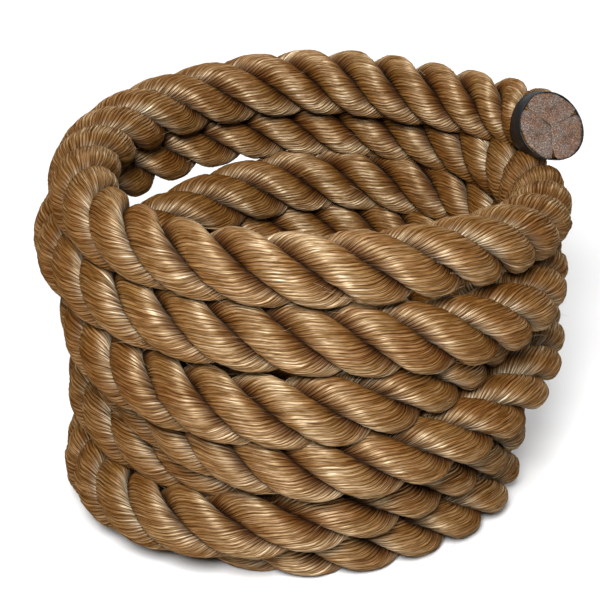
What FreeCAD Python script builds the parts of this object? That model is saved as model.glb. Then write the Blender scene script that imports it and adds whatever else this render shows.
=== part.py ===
import FreeCAD, Part
import Sketcher
import math
import os

# A coiled dock line of three-strand rope, resting on a level floor.  Millimetres, +Z up.
# The origin is on the floor, under the middle of the coil; the cut end at the top faces -Y.
os.makedirs("parts", exist_ok=True)
doc = FreeCAD.newDocument("coiled_dock_line")
Vector = FreeCAD.Vector

# ---------------------------------------------------------------- driving dimensions
ROPE = 38.0                 # rope diameter
RADIUS = ROPE / 2
THICKNESS = 40.0            # a turn in the coil: the strands' crowns stand a little proud
SECTION_SIDES = 12          # the turns' section has flats, so that the lowest lies on one
MIDDLE = (5.0, -8.5)        # brings the middle of the coil over the origin

# One row per turn, from the top: radius, centre x, centre y, height of the rope's centre,
# how far the turn tips in degrees, and the compass bearing of its high side.
TURNS = (
    (130.0, -3.0, -8.0, 218.0, 4.0, 90.0),
    (138.0, -5.0, 1.0, 182.0, 3.0, 90.0),
    (129.0, -1.0, -2.0, 146.0, 5.5, 65.0),
    (125.0, -1.0, 4.0, 112.0, 5.5, 57.0),
    (127.0, -3.0, 28.0, 84.0, 7.5, 5.0),
    (117.0, -16.0, 9.0, 56.0, 13.0, 22.0),
    (97.0, 2.0, 0.0, 20.0, 0.0, 0.0),
)
# The top turn and the bottom turn are open: where each begins, and how far it goes round.
OPEN_TURNS = {0: (90.0, 245.0), 6: (90.0, 270.0)}

# The stretch that leaves the top turn and lies over the one below, up to its tape.
END_HEIGHT = 229.0
END_POINTS = ((-3, 122), (24, 122), (49, 116), (73, 104.5), (94, 87.5), (111.5, 67.5), (126, 47.5))
# The stretch that leaves the bottom turn and lies on the floor behind the coil, on its tape.
TAIL_HEIGHT = 19.8
TAIL_POINTS = (
    (99, 0), (99, 27), (97, 55), (88, 82), (70, 105), (47, 123),
    (21, 135), (-9, 142.5), (-40, 147), (-71, 148.5),
)
BEND_SHARE = 0.45           # how much of the shorter run each bend may use

sheet = doc.addObject("Spreadsheet::Sheet", "sizes")
row_number = 0


def dimension(alias, value):
    """Adds one named number to the spreadsheet."""
    global row_number
    row_number += 1
    sheet.set("A%d" % row_number, alias)
    sheet.set("B%d" % row_number, "%.4g" % value)
    sheet.setAlias("B%d" % row_number, alias)


dimension("rope_diameter", ROPE)
dimension("turn_thickness", THICKNESS)
dimension("tape_length", 18.0)
dimension("tape_thickness", 0.8)
dimension("middle_offset_x", MIDDLE[0])
dimension("middle_offset_y", MIDDLE[1])
for number, (radius, x, y, z, tip, bearing) in enumerate(TURNS, 1):
    dimension("turn_%d_radius" % number, radius)
    dimension("turn_%d_centre_x" % number, x)
    dimension("turn_%d_centre_y" % number, y)
    dimension("turn_%d_height" % number, z)
doc.recompute()


# ---------------------------------------------------------------- the coil
def turn_of_rope(index):
    """A ring of rope: one turn of the coil, tipped and set off centre as it lies."""
    radius, x, y, z, tip, bearing = TURNS[index]
    name = "turn_%d" % (index + 1)
    outline = doc.addObject("Part::RegularPolygon", name + "_section")
    outline.Polygon = SECTION_SIDES
    half_side = 180.0 / SECTION_SIDES
    outline.setExpression("Circumradius", "sizes.turn_thickness / 2 / cos(%g)" % half_side)
    upright = FreeCAD.Rotation(Vector(1, 0, 0), 90)
    flat_down = FreeCAD.Rotation(Vector(0, 0, 1), half_side)
    outline.Placement = FreeCAD.Placement(Vector(radius, 0, 0), upright.multiply(flat_down))
    outline.setExpression("Placement.Base.x", "sizes.%s_radius" % name)
    start, sweep = OPEN_TURNS.get(index, (0.0, 360.0))
    ring = doc.addObject("Part::Revolution", name)
    ring.Source = outline
    ring.Axis = Vector(0, 0, 1)
    ring.Angle = sweep
    ring.Solid = True
    side = math.radians(bearing)
    tipping = FreeCAD.Rotation(Vector(math.sin(side), -math.cos(side), 0), tip)
    turning = FreeCAD.Rotation(Vector(0, 0, 1), start)
    ring.Placement = FreeCAD.Placement(Vector(x, y, z), tipping.multiply(turning))
    ring.setExpression("Placement.Base.x", "sizes.%s_centre_x + sizes.middle_offset_x" % name)
    ring.setExpression("Placement.Base.y", "sizes.%s_centre_y + sizes.middle_offset_y" % name)
    ring.setExpression("Placement.Base.z", "sizes.%s_height" % name)
    return ring


def coil():
    """All the turns joined into one solid; the bottom one's flat underside lies on the floor."""
    rope_coil = doc.addObject("Part::MultiFuse", "rope_coil")
    rope_coil.Shapes = [turn_of_rope(index) for index in range(len(TURNS))]
    return rope_coil


# ---------------------------------------------------------------- the loose stretches
def placed(point, height):
    """A point of a loose stretch, with the coil's own offset added."""
    return Vector(point[0] + MIDDLE[0], point[1] + MIDDLE[1], height)


def bent_path(name, points):
    """Straight runs joined by tangent arcs; prints the tightest bend."""
    edges = []
    start = points[0]
    tightest = None
    for before, corner, after in zip(points, points[1:], points[2:]):
        back = before - corner
        ahead = after - corner
        reach = BEND_SHARE * min(back.Length, ahead.Length)
        back.normalize()
        ahead.normalize()
        turn = math.pi - back.getAngle(ahead)
        bend = reach / math.tan(turn / 2)
        tightest = bend if tightest is None else min(tightest, bend)
        enter = corner + back * reach
        leave = corner + ahead * reach
        inward = (back + ahead).normalize()
        middle = corner + inward * (bend / math.cos(turn / 2) - bend)
        edges.append(Part.LineSegment(start, enter).toShape())
        edges.append(Part.Arc(enter, middle, leave).toShape())
        start = leave
    edges.append(Part.LineSegment(start, points[-1]).toShape())
    print("%s: tightest bend %.0f mm" % (name, tightest))
    path = doc.addObject("Part::Feature", name + "_path")
    path.Shape = Part.Wire(edges)
    return path


def loose_stretch(name, points):
    """A plain round tube of rope along a path."""
    path = bent_path(name, points)
    section = doc.addObject("Part::Circle", name + "_section")
    section.setExpression("Radius", "sizes.rope_diameter / 2")
    along = points[1] - points[0]
    section.Placement = FreeCAD.Placement(points[0], FreeCAD.Rotation(Vector(0, 0, 1), along))
    tube = doc.addObject("Part::Sweep", name)
    tube.Sections = [section]
    tube.Spine = (path, ["Edge%d" % (number + 1) for number in range(len(path.Shape.Edges))])
    tube.Solid = True
    tube.Frenet = False
    doc.recompute()
    expected = math.pi * RADIUS ** 2 * path.Shape.Length
    print("%s: %.0f mm long, volume / expected %.4f" % (
        name, path.Shape.Length, tube.Shape.Volume / expected))
    return tube


# ---------------------------------------------------------------- the taped cut ends
def body_with_sketch(name, placement):
    """A body with one sketch on its own XY plane."""
    body = doc.addObject("PartDesign::Body", name)
    body.Placement = placement
    sketch = body.newObject("Sketcher::SketchObject", name + "_outline")
    plane = [item for item in body.Origin.OriginFeatures if "XY" in item.Name][0]
    sketch.AttachmentSupport = [(plane, "")]
    sketch.MapMode = "FlatFace"
    return body, sketch


def padded(body, sketch):
    """Pads the sketch over the length of the tape."""
    pad = body.newObject("PartDesign::Pad", body.Name + "_pad")
    pad.Profile = sketch
    pad.setExpression("Length", "sizes.tape_length")
    sketch.Visibility = False
    return body


def tape(name, placement):
    """The sleeve of tape wound round a cut end."""
    body, sketch = body_with_sketch(name, placement)
    sketch.addGeometry(Part.Circle(Vector(0, 0, 0), Vector(0, 0, 1), RADIUS))
    sketch.addGeometry(Part.Circle(Vector(0, 0, 0), Vector(0, 0, 1), RADIUS + 1))
    sketch.addConstraint(Sketcher.Constraint("Coincident", 0, 3, -1, 1))
    sketch.addConstraint(Sketcher.Constraint("Coincident", 1, 3, -1, 1))
    inner = sketch.addConstraint(Sketcher.Constraint("Radius", 0, RADIUS))
    outer = sketch.addConstraint(Sketcher.Constraint("Radius", 1, RADIUS + 1))
    sketch.setExpression("Constraints[%d]" % inner, "sizes.rope_diameter / 2")
    sketch.setExpression(
        "Constraints[%d]" % outer, "sizes.rope_diameter / 2 + sizes.tape_thickness")
    return padded(body, sketch)


def strand_end(name, placement):
    """One strand of the three, squeezed to a third of the round inside the tape."""
    body, sketch = body_with_sketch(name, placement)
    third = 2 * math.pi / 3
    corner = Vector(RADIUS * math.cos(third), RADIUS * math.sin(third), 0)
    circle = Part.Circle(Vector(0, 0, 0), Vector(0, 0, 1), RADIUS)
    sketch.addGeometry(Part.LineSegment(Vector(0, 0, 0), Vector(RADIUS, 0, 0)))
    sketch.addGeometry(Part.ArcOfCircle(circle, 0, third))
    sketch.addGeometry(Part.LineSegment(corner, Vector(0, 0, 0)))
    sketch.addConstraint(Sketcher.Constraint("Coincident", 0, 1, -1, 1))
    sketch.addConstraint(Sketcher.Constraint("Coincident", 1, 3, -1, 1))
    sketch.addConstraint(Sketcher.Constraint("Coincident", 0, 2, 1, 1))
    sketch.addConstraint(Sketcher.Constraint("Coincident", 1, 2, 2, 1))
    sketch.addConstraint(Sketcher.Constraint("Coincident", 2, 2, -1, 1))
    sketch.addConstraint(Sketcher.Constraint("Horizontal", 0))
    sketch.addConstraint(Sketcher.Constraint("Angle", 0, 1, 2, 2, third))
    reach = sketch.addConstraint(Sketcher.Constraint("Radius", 1, RADIUS))
    sketch.setExpression("Constraints[%d]" % reach, "sizes.rope_diameter / 2")
    return padded(body, sketch)


def cut_end(word, points):
    """The taped end beyond the last point of a loose stretch: three strands in a sleeve."""
    along = points[-1] - points[-2]
    facing = FreeCAD.Rotation(Vector(0, 0, 1), along)
    pieces = [tape("%s_tape" % word, FreeCAD.Placement(points[-1], facing))]
    for strand in range(3):
        twist = FreeCAD.Rotation(Vector(0, 0, 1), 90 + 120 * strand)
        placement = FreeCAD.Placement(points[-1], facing.multiply(twist))
        pieces.append(strand_end("strand_%d_%s" % (strand + 1, word), placement))
    return pieces


# ---------------------------------------------------------------- assembly
end_path = [placed(point, END_HEIGHT) for point in END_POINTS]
tail_path = [placed(point, TAIL_HEIGHT) for point in TAIL_POINTS]
top = TURNS[0]
lift = math.radians(top[4])
end_path[0] = placed(
    (top[1], top[2] + top[0] * math.cos(lift)), top[3] + top[0] * math.sin(lift))
end_path[1] = Vector(end_path[1].x, end_path[0].y, end_path[0].z)

nodes = [coil(), loose_stretch("rope_end", end_path), loose_stretch("rope_tail", tail_path)]
nodes += cut_end("end", end_path)
nodes += cut_end("tail", tail_path)
doc.recompute()

for item in doc.Objects:
    if "Invalid" in item.State or "Error" in item.State:
        raise RuntimeError("%s: %s" % (item.Name, item.State))
whole = FreeCAD.BoundBox()
for node in nodes:
    if node.Shape.isNull() or not node.Shape.isValid():
        raise RuntimeError(node.Name + " has a bad shape")
    node.Label = node.Name
    node.Shape.exportStep("parts/%s.step" % node.Name)
    whole.add(node.Shape.BoundBox)
    print("%-14s solids %d volume %.0f" % (node.Name, len(node.Shape.Solids), node.Shape.Volume))
print("box x %.1f..%.1f y %.1f..%.1f z %.1f..%.1f" % (
    whole.XMin, whole.XMax, whole.YMin, whole.YMax, whole.ZMin, whole.ZMax))
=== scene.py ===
"""A coiled dock line: thick three-strand natural-fibre rope in seven loose turns, taped at its
cut ends.  Metres, in the CAD model's frame: the origin is on the floor under the coil, +Z up."""

import math

import bpy
import numpy as np
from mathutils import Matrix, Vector


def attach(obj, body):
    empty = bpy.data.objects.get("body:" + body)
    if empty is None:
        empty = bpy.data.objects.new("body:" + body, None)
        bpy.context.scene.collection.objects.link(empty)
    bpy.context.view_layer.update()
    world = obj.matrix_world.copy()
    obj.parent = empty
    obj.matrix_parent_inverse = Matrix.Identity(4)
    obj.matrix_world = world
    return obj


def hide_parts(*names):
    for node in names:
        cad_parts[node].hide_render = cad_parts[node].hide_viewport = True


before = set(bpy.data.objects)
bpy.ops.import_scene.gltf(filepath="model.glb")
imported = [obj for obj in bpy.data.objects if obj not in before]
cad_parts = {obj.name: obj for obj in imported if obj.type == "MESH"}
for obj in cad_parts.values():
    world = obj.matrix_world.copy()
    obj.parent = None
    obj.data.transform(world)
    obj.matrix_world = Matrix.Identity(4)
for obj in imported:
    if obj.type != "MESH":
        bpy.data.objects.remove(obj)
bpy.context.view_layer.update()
random = np.random.default_rng(38)

# ---------------------------------------------------------------- sizes
MM = 0.001
ROPE = 38 * MM                  # rope diameter
MIDDLE = (5.0, -8.5)            # offset in mm that brings the coil over the origin
LAY = 96 * MM                   # rope length in which a strand goes once round
YARNS = 30                      # yarns that show round one strand
TAPE = 18 * MM                  # width of the tape on each end
SECTIONS = 3 * MM               # distance between a strand's sections

# Where the rope's centre is at eight places round each turn, from the top turn down.  The places
# go from the right (+X) by the back (+Y) and the left: distance from the coil's middle, and
# height above the floor, in rope diameters.  The coil begins at the back of the top turn, and the
# place before the back only gives it its direction there, so the top row leaves out the right.
# The last row is the one place where the bottom turn ends.
PLACES = 8
FIRST_PLACE = 1                 # the place that the top row starts with, counted from 0
DISTANCES = (
    (3.15, 3.20, 3.35, 3.45, 3.70, 3.65, 3.45),
    (3.40, 3.60, 3.70, 3.75, 3.75, 3.70, 3.60, 3.60),
    (3.35, 3.65, 3.45, 3.05, 3.30, 3.70, 3.65, 2.95),
    (2.70, 3.50, 3.70, 3.35, 3.05, 3.10, 3.50, 3.30),
    (3.40, 3.95, 4.15, 3.85, 3.35, 2.80, 2.60, 2.40),
    (2.50, 2.95, 3.40, 3.65, 3.45, 3.25, 2.90, 2.55),
    (2.90, 2.75, 2.60, 2.55, 2.50, 2.32, 2.24, 2.28),
    (2.78,),
)
HEIGHTS = (
    (6.05, 5.95, 5.80, 5.70, 5.60, 5.60, 5.45),
    (5.07, 5.06, 5.06, 4.90, 4.70, 4.60, 4.55, 4.30),
    (4.14, 4.18, 4.16, 3.97, 3.78, 3.54, 3.43, 3.52),
    (3.45, 3.32, 3.25, 3.05, 2.85, 2.68, 2.50, 2.58),
    (2.80, 2.55, 2.35, 2.12, 1.92, 1.85, 2.20, 2.40),
    (2.40, 2.15, 1.70, 1.15, 0.85, 1.00, 1.35, 1.50),
    (1.45, 1.15, 0.85, 0.62, 0.53, 0.53, 0.53, 0.53),
    (0.53,),
)
POINTS_PER_TURN = 24            # points of the line in each turn
# The stretch at the top that isn't coiled, from the cut face inwards, in mm.
END_POINTS = (
    (138, 30, 230), (133, 47, 225), (126, 64, 224), (109, 79, 224),
    (87, 89, 225), (64, 98, 227), (42, 109, 227), (20, 117, 227),
)
# The tail, from the bottom turn along the floor behind the coil to the hidden cut face, in mm.
TAIL_POINTS = (
    (107, 27, 20), (103, 55, 20), (90, 82, 20), (70, 105, 20), (47, 123, 20),
    (21, 135, 20), (-9, 142.5, 20), (-40, 147, 20), (-71, 148.5, 20), (-89, 149.5, 20),
)


# ---------------------------------------------------------------- camera
def look_from(target, distance, elevation, lens):
    """The photograph's viewpoint, in front of the coil and looking down on it."""
    angle = math.radians(elevation)
    back = Vector((0, -math.cos(angle), math.sin(angle)))
    data = bpy.data.cameras.new("camera")
    data.lens = lens
    data.sensor_width = 36
    camera = bpy.data.objects.new("camera", data)
    camera.location = Vector(target) + back * distance
    camera.rotation_mode = "QUATERNION"
    camera.rotation_quaternion = (-back).to_track_quat("-Z", "Y")
    bpy.context.scene.collection.objects.link(camera)
    bpy.context.scene.camera = camera


look_from(target=(-0.003, -0.0085, 0.133), distance=1.3, elevation=24.5, lens=133.2)


# ---------------------------------------------------------------- the rope's line
def between(values, place):
    """A smooth value between neighbours of a list (Catmull-Rom); place counts its items."""
    first = min(int(place), len(values) - 2)
    part = place - first
    a, b, c, d = (values[min(max(first + k, 0), len(values) - 1)] for k in (-1, 0, 1, 2))
    bend = (2 * a - 5 * b + 4 * c - d) * part ** 2 + (3 * b - a - 3 * c + d) * part ** 3
    return b + 0.5 * ((c - a) * part + bend)


def coil_points():
    """Points down the turns, from the back of the top one to the right of the bottom one, in mm."""
    distances = [value for turn in DISTANCES for value in turn]
    heights = [value for turn in HEIGHTS for value in turn]
    first = POINTS_PER_TURN // 4        # a quarter of a turn from the right is the back
    last = POINTS_PER_TURN * (len(DISTANCES) - 1)
    points = []
    for number in range(first, last + 1):
        place = number * PLACES / POINTS_PER_TURN - FIRST_PLACE
        angle = 2 * math.pi * number / POINTS_PER_TURN
        reach = between(distances, place) * ROPE / MM
        height = between(heights, place) * ROPE / MM
        points.append((reach * math.cos(angle), reach * math.sin(angle), height))
    return points


def rope_line(points):
    """The points, in mm, as a smooth line; returns the places along it in metres."""
    curve = bpy.data.curves.new("rope_line", "CURVE")
    curve.dimensions = "3D"
    spline = curve.splines.new("NURBS")
    spline.points.add(len(points) - 1)
    for point, (x, y, z) in zip(spline.points, points):
        point.co = ((x + MIDDLE[0]) * MM, (y + MIDDLE[1]) * MM, z * MM, 1)
    spline.order_u = 3
    spline.use_endpoint_u = True
    spline.resolution_u = 12
    holder = bpy.data.objects.new("rope_line", curve)
    mesh = bpy.data.meshes.new_from_object(holder)
    line = np.array([vertex.co[:] for vertex in mesh.vertices])
    bpy.data.objects.remove(holder)
    return line


def evenly_spaced(line, step):
    """The same line with its points about a step apart, and how far along it each one is."""
    nearest = 1e-7                      # points that are closer than this count as one
    gaps = np.linalg.norm(np.diff(line, axis=0), axis=1)
    keep = np.concatenate([[True], gaps > nearest])
    line = line[keep]
    travelled = np.concatenate([[0], np.cumsum(gaps[keep[1:]])])
    wanted = np.linspace(0, travelled[-1], round(travelled[-1] / step) + 1)
    even = [np.interp(wanted, travelled, line[:, axis]) for axis in range(3)]
    return wanted, np.stack(even, axis=1)


def unit(vectors):
    """The vectors with length 1."""
    return vectors / np.linalg.norm(vectors, axis=-1, keepdims=True)


# At each section of the rope: how far along it is, its centre, and three directions: ahead,
# upward (as nearly as a direction across the rope can be) and sideways.
along, centre = evenly_spaced(rope_line([*END_POINTS, *coil_points(), *TAIL_POINTS]), SECTIONS)
tangent = unit(np.gradient(centre, axis=0))
upward = unit(np.array([0, 0, 1.0]) - tangent * tangent[:, 2:])
sideways = np.cross(upward, tangent)


def spoke(turn, places=slice(None)):
    """Directions out from the rope's centre, turned from its side by an angle."""
    turn = np.asarray(turn)[..., None]
    return np.cos(turn) * sideways[places] + np.sin(turn) * upward[places]


def fade(distances, full, gone):
    """1 out to the distance full, then falling evenly to 0 at the distance gone."""
    return np.clip((gone - distances) / (gone - full), 0, 1)


# ---------------------------------------------------------------- meshes
def slow_noise(places, spacing, size, columns=1):
    """Random values that change smoothly along the rope; one column per yarn or strand."""
    knots = np.arange(places[0] - spacing, places[-1] + 2 * spacing, spacing)
    made = [np.interp(places, knots, random.normal(0, size, len(knots))) for _ in range(columns)]
    return np.stack(made, axis=1)


def tube_mesh(name, rings, closed_ends=True):
    """A mesh through rings of points; each ring goes counter-clockwise seen from ahead."""
    count, around = rings.shape[:2]
    index = np.arange(count * around).reshape(count, around)
    here, ahead = index[:-1], index[1:]
    corners = [here, np.roll(here, -1, axis=1), np.roll(ahead, -1, axis=1), ahead]
    quads = np.stack(corners, axis=-1).reshape(-1, 4)
    loops = quads.ravel()
    starts = np.arange(len(quads)) * 4
    if closed_ends:
        starts = np.append(starts, [len(loops), len(loops) + around])
        loops = np.concatenate([loops, index[0][::-1], index[-1]])
    mesh = bpy.data.meshes.new(name)
    mesh.vertices.add(count * around)
    mesh.vertices.foreach_set("co", rings.reshape(-1).astype(np.float32))
    mesh.loops.add(len(loops))
    mesh.loops.foreach_set("vertex_index", loops.astype(np.int32))
    mesh.polygons.add(len(starts))
    mesh.polygons.foreach_set("loop_start", starts.astype(np.int32))
    mesh.polygons.foreach_set("use_smooth", np.ones(len(starts), dtype=bool))
    mesh.update(calc_edges=True)
    mesh.validate()
    return mesh


def store(mesh, name, values):
    """Stores a number or a vector per vertex, given ring by ring, for the material to read."""
    kind, field = ("FLOAT_VECTOR", "vector") if values.ndim == 3 else ("FLOAT", "value")
    attribute = mesh.attributes.new(name, kind, "POINT")
    attribute.data.foreach_set(field, values.astype(np.float32).ravel())


def show(name, mesh, material):
    """Makes an object of the mesh that rides on the part's one body."""
    piece = bpy.data.objects.new(name, mesh)
    mesh.materials.append(material)
    bpy.context.scene.collection.objects.link(piece)
    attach(piece, "root")
    return piece


# ---------------------------------------------------------------- materials
class Nodes:
    """Short names for building a node material."""

    def __init__(self, name):
        self.material = bpy.data.materials.new(name)
        self.material.use_nodes = True
        self.tree = self.material.node_tree
        self.shader = self.tree.nodes["Principled BSDF"]

    def node(self, kind, **settings):
        """A new node with the given settings."""
        made = self.tree.nodes.new(kind)
        for key, value in settings.items():
            setattr(made, key, value)
        return made

    def link(self, source, target):
        """Joins an output to an input."""
        self.tree.links.new(source, target)

    def attribute(self, name):
        """The node that reads what store() kept on the mesh."""
        return self.node("ShaderNodeAttribute", attribute_name=name)

    def place(self):
        """The point's coordinates in its object."""
        return self.node("ShaderNodeTexCoord").outputs["Object"]

    def scaled(self, vector, scale):
        """The vector, with each axis multiplied by its own scale."""
        made = self.node("ShaderNodeVectorMath", operation="MULTIPLY")
        self.link(vector, made.inputs[0])
        made.inputs[1].default_value = scale
        return made.outputs[0]

    def noise(self, vector, scale, detail=2.0, roughness=0.5):
        """Noise from 0 to 1 with this many changes per metre along each axis."""
        made = self.node("ShaderNodeTexNoise")
        self.link(self.scaled(vector, scale), made.inputs["Vector"])
        made.inputs["Scale"].default_value = 1.0
        made.inputs["Detail"].default_value = detail
        made.inputs["Roughness"].default_value = roughness
        return made.outputs["Fac"]

    def ramp(self, value, stops):
        """A colour picked by the value from stops, each a position and a colour."""
        made = self.node("ShaderNodeValToRGB")
        self.link(value, made.inputs["Fac"])
        elements = made.color_ramp.elements
        while len(elements) < len(stops):
            elements.new(0.5)
        for element, (position, colour) in zip(elements, stops):
            element.position = position
            element.color = (*colour, 1.0)
        return made.outputs["Color"]

    def mixed(self, factor, first, second, blend="MIX"):
        """Two colours mixed; each argument is a socket or a constant."""
        made = self.node("ShaderNodeMix", data_type="RGBA", blend_type=blend)
        for socket, value in ((made.inputs[0], factor), (made.inputs[6], first),
                              (made.inputs[7], second)):
            if isinstance(value, bpy.types.NodeSocket):
                self.link(value, socket)
            elif isinstance(value, tuple):
                socket.default_value = (*value, 1.0)
            else:
                socket.default_value = value
        return made.outputs[2]

    def tinted(self, colour, tint, share):
        """The colour multiplied by a tint, as far as the share says."""
        return self.mixed(share, colour, tint, blend="MULTIPLY")

    def spread(self, value, low, high, to_low=0.0, to_high=1.0):
        """The value's range from low to high, carried smoothly over to another range."""
        made = self.node("ShaderNodeMapRange", interpolation_type="SMOOTHSTEP")
        self.link(value, made.inputs["Value"])
        made.inputs["From Min"].default_value = low
        made.inputs["From Max"].default_value = high
        made.inputs["To Min"].default_value = to_low
        made.inputs["To Max"].default_value = to_high
        return made.outputs["Result"]

    def bump(self, height, strength, distance):
        """Roughens the surface by the height, and returns the roughened normal."""
        made = self.node("ShaderNodeBump")
        made.inputs["Strength"].default_value = strength
        made.inputs["Distance"].default_value = distance
        self.link(height, made.inputs["Height"])
        self.link(made.outputs["Normal"], self.shader.inputs["Normal"])
        return made.outputs["Normal"]

    def silk(self, colour, roughness, normal, share, stretch):
        """Mixes in a share of gloss, stretched across the yarns as it is on combed fibre."""
        gloss = self.node("ShaderNodeBsdfAnisotropic")
        self.link(colour, gloss.inputs["Color"])
        self.link(roughness, gloss.inputs["Roughness"])
        self.link(normal, gloss.inputs["Normal"])
        self.link(self.attribute("yarn").outputs["Vector"], gloss.inputs["Tangent"])
        gloss.inputs["Anisotropy"].default_value = stretch
        blend = self.node("ShaderNodeMixShader")
        blend.inputs["Fac"].default_value = share
        self.link(self.shader.outputs["BSDF"], blend.inputs[1])
        self.link(gloss.outputs["BSDF"], blend.inputs[2])
        self.link(blend.outputs["Shader"], self.tree.nodes["Material Output"].inputs["Surface"])


def manila():
    """Silky fibre: orange-brown in itself, darkened by painted shade between the strands and yarns,
    with a pale gloss in a band across the yarns.
    """
    nodes = Nodes("manila")
    straight = nodes.attribute("straight").outputs["Vector"]
    crown = nodes.attribute("crown").outputs["Fac"]
    ridge = nodes.attribute("ridge").outputs["Fac"]
    fibre = nodes.noise(straight, scale=(2400, 2400, 120), roughness=0.6)
    yarn = nodes.noise(straight, scale=(650, 650, 24))
    patch = nodes.noise(straight, scale=(60, 60, 16))
    streak = nodes.ramp(fibre, (
        (0.30, (0.45, 0.36, 0.26)), (0.50, (0.95, 0.92, 0.88)), (0.68, (1.35, 1.40, 1.50))))
    tone = nodes.ramp(yarn, (
        (0.32, (0.50, 0.40, 0.28)), (0.5, (0.92, 0.90, 0.86)), (0.68, (1.18, 1.22, 1.26))))
    warm = nodes.ramp(patch, ((0.35, (0.80, 0.62, 0.42)), (0.65, (1.08, 1.08, 1.08))))
    # painted shade: a mask for the valleys between yarns, where colour and gloss are darkened
    valley_shade = nodes.spread(ridge, low=-1.0, high=0.1, to_low=0.9, to_high=0.0)

    # the fibre's colour, with painted shade that makes it darkest deep between the strands
    colour = nodes.ramp(nodes.spread(crown, low=0.50, high=1.02), (
        (0.10, (0.020, 0.005, 0.001)), (0.50, (0.062, 0.021, 0.0020)),
        (0.80, (0.090, 0.036, 0.0045)), (0.98, (0.120, 0.053, 0.009))))
    # the last tint is painted shade in the valleys between yarns
    for tint, share in ((streak, 0.9), (tone, 0.8), (warm, 0.8), ((0.25, 0.15, 0.08), valley_shade)):
        colour = nodes.tinted(colour, tint, share)
    fleck = nodes.noise(straight, scale=(1100, 1100, 130), detail=1.0)
    flecked = nodes.spread(fleck, low=0.70, high=0.76, to_high=0.8)
    colour = nodes.mixed(flecked, colour, (0.05, 0.022, 0.008))
    nodes.link(colour, nodes.shader.inputs["Base Color"])
    nodes.shader.inputs["Roughness"].default_value = 0.8
    nodes.shader.inputs["Specular IOR Level"].default_value = 0.0
    uneven = nodes.mixed(0.5, fibre, nodes.noise(straight, scale=(1100, 1100, 330)))
    normal = nodes.bump(uneven, strength=1.0, distance=0.34 * MM)

    # the gloss over it, fibre by fibre
    gloss = nodes.ramp(fibre, (
        (0.34, (0.12, 0.085, 0.035)), (0.50, (0.54, 0.47, 0.32)), (0.64, (0.95, 0.91, 0.76))))
    # the last tint dims the gloss in the valleys between yarns: painted shade
    for tint, share in ((tone, 0.9), (warm, 0.5), ((0.15, 0.10, 0.06), valley_shade)):
        gloss = nodes.tinted(gloss, tint, share)
    dullness = nodes.spread(yarn, low=0.3, high=0.7, to_low=0.68, to_high=0.58)
    nodes.silk(gloss, dullness, normal, share=0.21, stretch=0.35)
    return nodes.material


def cut_fibre():
    """The sawn fibre ends: fine pinkish-grey and brown specks."""
    nodes = Nodes("cut_fibre")
    place = nodes.place()
    speck = nodes.noise(place, scale=(1500, 1500, 1500), roughness=0.7)
    patch = nodes.noise(place, scale=(160, 160, 160))
    colour = nodes.ramp(speck, (
        (0.34, (0.015, 0.007, 0.004)), (0.46, (0.045, 0.027, 0.018)),
        (0.56, (0.095, 0.064, 0.047)), (0.70, (0.22, 0.18, 0.15))))
    warm = nodes.ramp(patch, ((0.42, (0.95, 0.55, 0.25)), (0.58, (1.0, 1.0, 1.0))))
    colour = nodes.tinted(colour, warm, 0.7)
    nodes.link(colour, nodes.shader.inputs["Base Color"])
    nodes.shader.inputs["Roughness"].default_value = 0.75
    nodes.bump(speck, strength=0.8, distance=0.5 * MM)
    return nodes.material


def black_tape():
    """Satin black tape, faintly creased and scuffed."""
    nodes = Nodes("black_tape")
    place = nodes.place()
    crease = nodes.noise(place, scale=(260, 260, 90), detail=3.0)
    scuff = nodes.noise(place, scale=(900, 900, 900), detail=3.0)
    colour = nodes.ramp(scuff, (
        (0.4, (0.003, 0.0035, 0.004)), (0.7, (0.007, 0.008, 0.010)), (0.85, (0.02, 0.02, 0.02))))
    nodes.link(colour, nodes.shader.inputs["Base Color"])
    dullness = nodes.spread(scuff, low=0.3, high=0.7, to_low=0.38, to_high=0.55)
    nodes.link(dullness, nodes.shader.inputs["Roughness"])
    nodes.shader.inputs["Specular IOR Level"].default_value = 0.25
    nodes.bump(crease, strength=0.5, distance=0.6 * MM)
    return nodes.material


def pale_fibre():
    """Single bleached fibres."""
    nodes = Nodes("pale_fibre")
    tone = nodes.noise(nodes.place(), scale=(60, 60, 60), detail=1.0)
    colour = nodes.ramp(tone, ((0.35, (0.16, 0.08, 0.03)), (0.65, (0.42, 0.30, 0.16))))
    nodes.link(colour, nodes.shader.inputs["Base Color"])
    nodes.shader.inputs["Roughness"].default_value = 0.5
    return nodes.material


MANILA = manila()
CUT_FIBRE = cut_fibre()
BLACK_TAPE = black_tape()
PALE_FIBRE = pale_fibre()

# ---------------------------------------------------------------- strands
STRANDS = 3
STRAND_OFFSET = 0.270 * ROPE        # strand's middle from the rope's middle
STRAND_HALF_DEPTH = 0.240 * ROPE    # strand's reach outwards
STRAND_HALF_WIDTH = 0.290 * ROPE    # strand's reach sideways
PLUMPNESS = 2.2                     # 2 is an oval; more is squarer
NEIGHBOUR = math.radians(150)       # where the next strand's middle is, from outwards
LEAST_FACING = 0.05                 # keeps the distance to it finite on the side facing away
OPEN_CORNER = 9                     # how sharply a strand's outside meets its flanks
TAPED_CORNER = 6                    # the same, under the tape
TAPED_RADIUS = 0.487 * ROPE         # the strands squeezed round inside the tape
TAPED_FILL = 0.975                  # how much of its room a strand fills under the tape
SWELL = 0.012                       # how much a strand's thickness varies
LUMPS = 0.35 * MM                   # how far the squeezed strands are out of round
YARN_SHAPE = (1.0, 0.8, 0.2, -1.0, 0.2, 0.8)    # heights across a yarn, from its crown
YARN_RELIEF = 0.46 * MM             # what a height of 1 stands for
YARN_VARIATION = 0.50               # how much the relief varies from yarn to yarn
YARN_STRAY = 0.20 * MM              # how far single yarns lie too high or too low
TAPED_RELIEF = 0.25                 # share of the relief that is left under the tape
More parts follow.
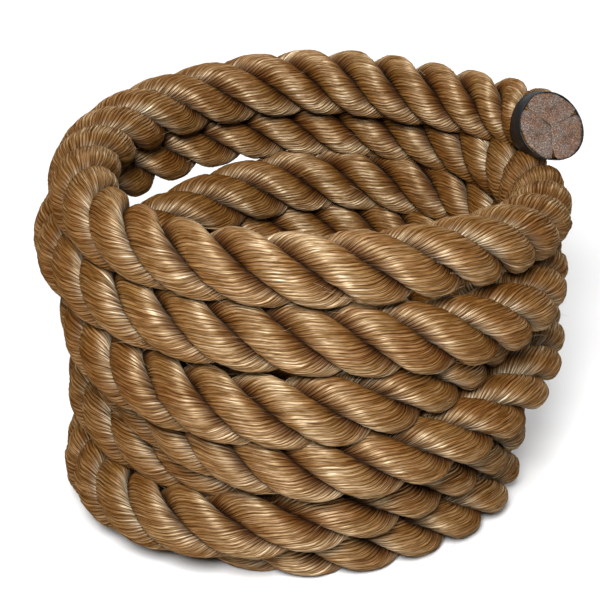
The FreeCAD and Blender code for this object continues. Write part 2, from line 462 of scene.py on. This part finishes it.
YARN_TURNS = 2.0                    # how far the yarns turn back while the strand goes round once
COLUMNS = YARNS * len(YARN_SHAPE)
RIDGES = np.tile(YARN_SHAPE, YARNS)
FIRST_TWIST = math.radians(-35)     # turns the three strands to where the cut face shows them
LAY_VARIATION = 0.03                # how much the lay varies along the rope
TIGHTER_END = 0.35                  # how much more twist the rope has near its top end
PATTERN_SHIFT = 7.0                 # metres: more than the rope, so that no strands look alike
CUT_SLANT = 0.42                    # how far the top cut is from square
CAP_RINGS = 12                      # rings from the rim of a cut face to its middle
CAP_HOLE = 0.02                     # size of the innermost ring, as a share of the rim
CAP_RIM = 0.35 * MM                 # rise just inside the rim
CAP_DOME = 0.5 * MM                 # rise from there to the middle
CAP_ROUGHNESS = 0.16 * MM           # how far its points stand out or in


def rope_twist():
    """How far round the first strand has gone at each section."""
    change = slow_noise(along, spacing=0.25, size=LAY_VARIATION)[:, 0]
    change += TIGHTER_END * fade(along, full=40 * MM, gone=220 * MM)
    return 2 * math.pi * np.cumsum((1 + change) * np.gradient(along)) / LAY + FIRST_TWIST


def rope_squeeze():
    """How far each section is squeezed round: 1 under the tape, 0 in the open rope."""
    from_end = np.minimum(along, along[-1] - along)
    squeezed = fade(from_end, full=0.8 * TAPE, gone=1.5 * TAPE)
    return squeezed ** 2 * (3 - 2 * squeezed)


twist = rope_twist()
squeeze = rope_squeeze()


def smaller(first, second, sharpness):
    """The smaller of two distances, with the corner where they meet rounded off."""
    return (first ** -sharpness + second ** -sharpness) ** (-1 / sharpness)


def strand_section(angle):
    """Distance from the strand's middle to its surface, at angles from the outward direction.
    The first is for the open rope, the second for the part squeezed round under the tape."""
    oval = (np.abs(np.cos(angle) / STRAND_HALF_DEPTH) ** PLUMPNESS
            + np.abs(np.sin(angle) / STRAND_HALF_WIDTH) ** PLUMPNESS) ** (-1 / PLUMPNESS)
    facing = np.maximum(np.cos(np.abs(angle) - NEIGHBOUR), LEAST_FACING)
    neighbour = STRAND_OFFSET * math.sin(math.pi / STRANDS) / facing
    rim = (np.sqrt(TAPED_RADIUS ** 2 - (STRAND_OFFSET * np.sin(angle)) ** 2)
           - STRAND_OFFSET * np.cos(angle))
    open_rope = smaller(oval, neighbour, OPEN_CORNER)
    taped = smaller(rim, TAPED_FILL * neighbour, TAPED_CORNER)
    return open_rope, taped


def slanted(rings, first):
    """The rings, with the rope's first end cut on the slant: its upper side is set back."""
    places = slice(first, first + len(rings))
    weight = fade(along[places], full=0, gone=TAPE)
    height = np.einsum("rck,rk->rc", rings - centre[places][:, None, :], upward[places])
    set_back = CUT_SLANT * height * weight[:, None]
    return rings + tangent[places][:, None, :] * set_back[..., None]


def yarn_relief():
    """How far each surface point stands out or in because of its yarn, in the open rope."""
    proud = 1 + slow_noise(along, spacing=0.03, size=YARN_VARIATION, columns=YARNS)
    proud = np.roll(proud, 1, axis=1)       # each yarn takes the column of the one before it
    stray = slow_noise(along, spacing=0.018, size=YARN_STRAY, columns=YARNS)
    proud, stray = (np.repeat(yarns, len(YARN_SHAPE), axis=1) for yarns in (proud, stray))
    return YARN_RELIEF * RIDGES * proud + stray


def strand_reach(number, angle, yarn_angle):
    """Distance from the strand's middle to each point of its surface, yarns included."""
    squeezed = squeeze[:, None]
    open_rope, taped = strand_section(angle)
    reach = open_rope + (taped - open_rope) * squeezed
    reach *= 1 + slow_noise(along, spacing=0.09, size=SWELL)
    # two large lumps and five small ones round a squeezed strand, not alike on any two strands
    lumps = np.sin(2 * yarn_angle + 2.1 * number) + 0.6 * np.sin(5 * yarn_angle + number)
    reach += LUMPS * lumps * squeezed
    return reach + yarn_relief() * (1 - (1 - TAPED_RELIEF) * squeezed)


def strand_surface(number):
    """The strand's surface points, ring by ring, and what its material reads at each point:
    crown, the distance from the rope's middle (1 is its radius); ridge, the height on the yarn;
    straight, the place on the strand if it lay straight; and yarn, the yarn's direction."""
    turn = twist + 2 * math.pi * number / STRANDS
    yarn_angle = np.arange(COLUMNS) * 2 * math.pi / COLUMNS
    angle = yarn_angle - YARN_TURNS * turn[:, None]
    angle = (angle + math.pi) % (2 * math.pi) - math.pi
    reach = strand_reach(number, angle, yarn_angle)
    out = STRAND_OFFSET + reach * np.cos(angle)
    side = reach * np.sin(angle)
    outward = spoke(turn)[:, None, :]
    across = spoke(turn + math.pi / 2)[:, None, :]
    rings = centre[:, None, :] + out[..., None] * outward + side[..., None] * across
    rings = slanted(rings, 0)
    straight = np.broadcast_arrays(
        np.cos(yarn_angle) * STRAND_HALF_WIDTH, np.sin(yarn_angle) * STRAND_HALF_WIDTH,
        along[:, None] + PATTERN_SHIFT * number)
    return rings, {
        "crown": np.hypot(out, side) / (ROPE / 2),
        "ridge": np.broadcast_to(RIDGES, reach.shape),
        "straight": np.stack(straight, axis=-1),
        "yarn": unit(np.gradient(rings, axis=0)),
    }


def cut_face(ring, direction):
    """Rings that close a strand with a rough sawn face: uneven, and rounded at its rim."""
    middle = ring.mean(axis=0)
    sizes = np.maximum(np.linspace(1, 0, CAP_RINGS + 1)[1:], CAP_HOLE)
    faces = []
    for number, size in enumerate(sizes):
        rim = 0 if number == 0 else CAP_RIM
        rise = rim + CAP_DOME * (1 - size) + random.normal(0, CAP_ROUGHNESS, len(ring))
        faces.append(middle + (ring - middle) * size + direction * rise[:, None])
    return np.array(faces)


def strand(number):
    """One strand from cut end to cut end."""
    name = "strand_%d" % (number + 1)
    rings, surface = strand_surface(number)
    first = cut_face(rings[0], -tangent[0])[::-1]
    last = cut_face(rings[-1], tangent[-1])
    mesh = tube_mesh(name, np.concatenate([first, rings, last]))
    for key, values in surface.items():
        ends = [(CAP_RINGS, CAP_RINGS)] + [(0, 0)] * (values.ndim - 1)
        store(mesh, key, np.pad(values, ends, mode="edge"))
    piece = show(name, mesh, MANILA)
    mesh.materials.append(CUT_FIBRE)
    # the caps have the second material: the first faces, and the last ones with both closing faces
    cap_faces = CAP_RINGS * COLUMNS
    materials = np.zeros(len(mesh.polygons), dtype=np.int32)
    materials[:cap_faces] = 1
    materials[-cap_faces - 2:] = 1
    mesh.polygons.foreach_set("material_index", materials)
    return piece


strands = [strand(number) for number in range(STRANDS)]


# ---------------------------------------------------------------- tape
TAPE_COLUMNS = 144
TAPE_RADIUS = TAPED_RADIUS + 0.75 * MM      # where the tape's outer layer begins
TAPE_THICKNESS = 0.6 * MM
TAPE_STEP = 0.35 * MM                       # step where the outer layer ends
TAPE_BRIDGE = 0.35 * MM                     # how far it follows the strands out and in
TAPE_WRINKLE = 0.035 * MM


def tape_sleeve(name, places):
    """Tape wound round an end: it bridges the strands, and its outer end makes a step."""
    angle = np.arange(TAPE_COLUMNS) * 2 * math.pi / TAPE_COLUMNS
    inside, outside = [], []
    for place in places:
        wave = TAPE_BRIDGE * np.cos(STRANDS * (angle - twist[place]))
        layers = TAPE_STEP * angle / (2 * math.pi)
        wrinkle = random.normal(0, TAPE_WRINKLE, TAPE_COLUMNS)
        radius = (TAPE_RADIUS + wave + layers + wrinkle)[:, None]
        outward = spoke(angle, place)
        outside.append(centre[place] + outward * radius)
        inside.append(centre[place] + outward * (radius - TAPE_THICKNESS))
    inside = slanted(np.array(inside), places[0])
    outside = slanted(np.array(outside), places[0])
    rings = np.concatenate([inside[::-1], outside, inside[-1:]])
    return show(name, tube_mesh(name, rings, closed_ends=False), BLACK_TAPE)


tape_steps = int(TAPE / (along[1] - along[0]))
end_tape = tape_sleeve("tape_end", range(0, tape_steps + 1))
tail_tape = tape_sleeve("tape_tail", range(len(along) - tape_steps - 1, len(along)))


# ---------------------------------------------------------------- loose fibres
FIBRES = 900
FIBRE_SIDES = 4
FIBRE_KNOTS = 7                     # rings from a fibre's root to its tip
FIBRE_ROOT = 0.455 * ROPE           # its root from the rope's middle, inside the strands
FIBRE_TAPER = 0.7                   # share of its thickness that it loses by its tip
FIRST_FIBRE = 12                    # sections at each end that have no fibres
FLOOR_GAP = 0.5 * MM                # fibres stay this far above the floor


def fibre_rings():
    """The surface points, ring by ring, of one thin bent hair that stands off the rope."""
    place = random.integers(FIRST_FIBRE, len(along) - FIRST_FIBRE)
    off = spoke(random.uniform(0, 2 * math.pi), place)
    ahead = tangent[place] * random.choice([-1, 1])
    sway = np.cross(off, ahead)
    longest = 8 + 12 * random.random()
    length = random.uniform(4, longest) * MM
    lift = random.uniform(0.1, 0.45)        # how far it stands off, as a share of its length
    drift = random.normal(0, 0.35)          # how far it leans to one side
    curl = random.normal(0, 0.3)            # how far it bends to that side
    thick = random.uniform(0.05, 0.11) * MM
    part = np.linspace(0, 1, FIBRE_KNOTS)[:, None]
    middle = (centre[place] + off * (FIBRE_ROOT + length * lift * part ** 1.5)
              + ahead * length * part + sway * length * (drift * part + curl * part ** 2))
    turn = 2 * math.pi * np.arange(FIBRE_SIDES)[:, None] / FIBRE_SIDES
    rim = off * np.cos(turn) + sway * np.sin(turn)
    radius = thick * (1 - FIBRE_TAPER * part)
    rings = middle[:, None, :] + rim * radius[..., None]
    rings[..., 2] = np.maximum(rings[..., 2], FLOOR_GAP)
    return rings


def loose_fibres(count):
    """The single fibres that stand off the rope, as one piece."""
    vertices = np.concatenate([fibre_rings().reshape(-1, 3) for _ in range(count)])
    faces = []
    for start in range(0, len(vertices), FIBRE_KNOTS * FIBRE_SIDES):
        tip = start + (FIBRE_KNOTS - 1) * FIBRE_SIDES
        for ring in range(start, tip, FIBRE_SIDES):
            for side in range(FIBRE_SIDES):
                here = ring + side
                beside = ring + (side + 1) % FIBRE_SIDES
                faces.append((here, beside, beside + FIBRE_SIDES, here + FIBRE_SIDES))
        faces.append(tuple(reversed(range(start, start + FIBRE_SIDES))))
        faces.append(tuple(range(tip, tip + FIBRE_SIDES)))
    mesh = bpy.data.meshes.new("loose_fibres")
    mesh.from_pydata(vertices.tolist(), [], faces)
    mesh.shade_smooth()
    return show("loose_fibres", mesh, PALE_FIBRE)


fibres = loose_fibres(FIBRES)

# ---------------------------------------------------------------- what stands for what
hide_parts("rope_coil", "rope_end", "rope_tail")
for number, piece in enumerate(strands, 1):
    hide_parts("strand_%d_end" % number, "strand_%d_tail" % number)
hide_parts("end_tape")
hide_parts("tail_tape")


# ---------------------------------------------------------------- studio
def floor():
    """A plain pale floor, 12 m square."""
    corners = [(-6, -6, 0), (6, -6, 0), (6, 6, 0), (-6, 6, 0)]
    mesh = bpy.data.meshes.new("floor")
    mesh.from_pydata(corners, [], [(0, 1, 2, 3)])
    plane = bpy.data.objects.new("floor", mesh)
    nodes = Nodes("floor")
    tone = nodes.noise(nodes.place(), scale=(3, 3, 3), detail=1.0)
    grey = nodes.ramp(tone, ((0.3, (0.60, 0.60, 0.60)), (0.7, (0.62, 0.62, 0.62))))
    nodes.link(grey, nodes.shader.inputs["Base Color"])
    nodes.shader.inputs["Roughness"].default_value = 0.9
    mesh.materials.append(nodes.material)
    bpy.context.scene.collection.objects.link(plane)


def softbox(name, location, aim, size, power):
    """A square area light that faces a point."""
    data = bpy.data.lights.new(name, "AREA")
    data.size = size
    data.energy = power
    light = bpy.data.objects.new(name, data)
    light.location = location
    light.rotation_mode = "QUATERNION"
    light.rotation_quaternion = (Vector(location) - Vector(aim)).to_track_quat("Z", "Y")
    bpy.context.scene.collection.objects.link(light)


def surroundings(strength):
    """Even white light from all round."""
    world = bpy.data.worlds.new("studio")
    world.use_nodes = True
    background = world.node_tree.nodes["Background"]
    background.inputs["Color"].default_value = (1.0, 1.0, 1.0, 1.0)
    background.inputs["Strength"].default_value = strength
    bpy.context.scene.world = world


floor()
softbox("key", location=(-0.15, -1.7, 1.35), aim=(0, 0, 0.12), size=0.5, power=118)
softbox("floor_light", location=(0, 1.2, 1.2), aim=(0, 1.2, 0), size=1.6, power=20)
softbox("back_fill", location=(1.3, 2.2, 1.3), aim=(0, 0, 0.1), size=1.6, power=26)
surroundings(strength=0.15)
bpy.context.scene.view_settings.view_transform = "Standard"
